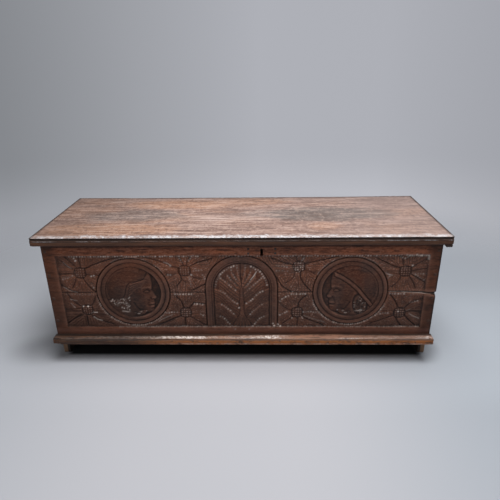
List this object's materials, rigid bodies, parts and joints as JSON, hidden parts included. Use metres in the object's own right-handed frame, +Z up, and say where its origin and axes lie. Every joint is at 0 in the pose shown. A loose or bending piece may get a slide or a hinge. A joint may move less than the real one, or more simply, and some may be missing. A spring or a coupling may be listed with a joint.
{
  "type": "coffer chest",
  "caption": "Long low boarded coffer chest on slab feet, with a hinged plank lid, an inside lock and a front carved with roundel heads, an arch with a palmette and leafy bosses.",
  "frame": {"origin": "on the floor, under the middle of the whole chest", "axes": "+X along the front to the viewer's right, +Y from the front to the back, +Z up"},
  "size_m": [1.2, 0.4361, 0.415],
  "materials": {
    "carved_wood": "dark waxed, worn on the crests",
    "lid_wood": "faded reddish brown, old wax",
    "plain_wood": "dry, unpolished",
    "wrought_iron": "forged, dark, slightly rusted"
  },
  "bodies": {
    "chest": {"front_board": "carved_wood", "back_board": "plain_wood", "end_board_left": "plain_wood", "end_board_right": "plain_wood", "bottom_board_front": "plain_wood", "bottom_board_rear": "plain_wood", "plinth_moulding": "carved_wood", "front_board_nails": "wrought_iron", "back_board_nails": "wrought_iron", "bottom_board_nails": "wrought_iron", "plinth_nails": "wrought_iron", "hinge_plate_left": "wrought_iron", "hinge_plate_right": "wrought_iron", "hinge_pin_left": "wrought_iron", "hinge_pin_right": "wrought_iron", "hinge_plate_nails": "wrought_iron", "lock_plate": "wrought_iron", "lock_case": "wrought_iron", "key_pin": "wrought_iron", "bolt_guides": "wrought_iron", "lock_nails": "wrought_iron"},
    "lid": {"lid_board": "lid_wood", "lid_cleat_left": "lid_wood", "lid_cleat_right": "lid_wood", "cleat_nails": "wrought_iron", "hinge_strap_left": "wrought_iron", "hinge_strap_right": "wrought_iron", "hinge_strap_nails": "wrought_iron", "lock_staple": "wrought_iron"},
    "bolt": {"lock_bolt": "wrought_iron"}
  },
  "joints": [
    {"name": "lid_hinge", "type": "hinge", "parent": "chest", "child": "lid", "pos_m": [0, 0.212, 0.381], "axis": [-1, 0, 0], "range_deg": [0, 100]},
    {"name": "lock_bolt_slide", "type": "slide", "parent": "chest", "child": "bolt", "axis": [-1, 0, 0], "range_m": [0, 0.014]}
  ]
}
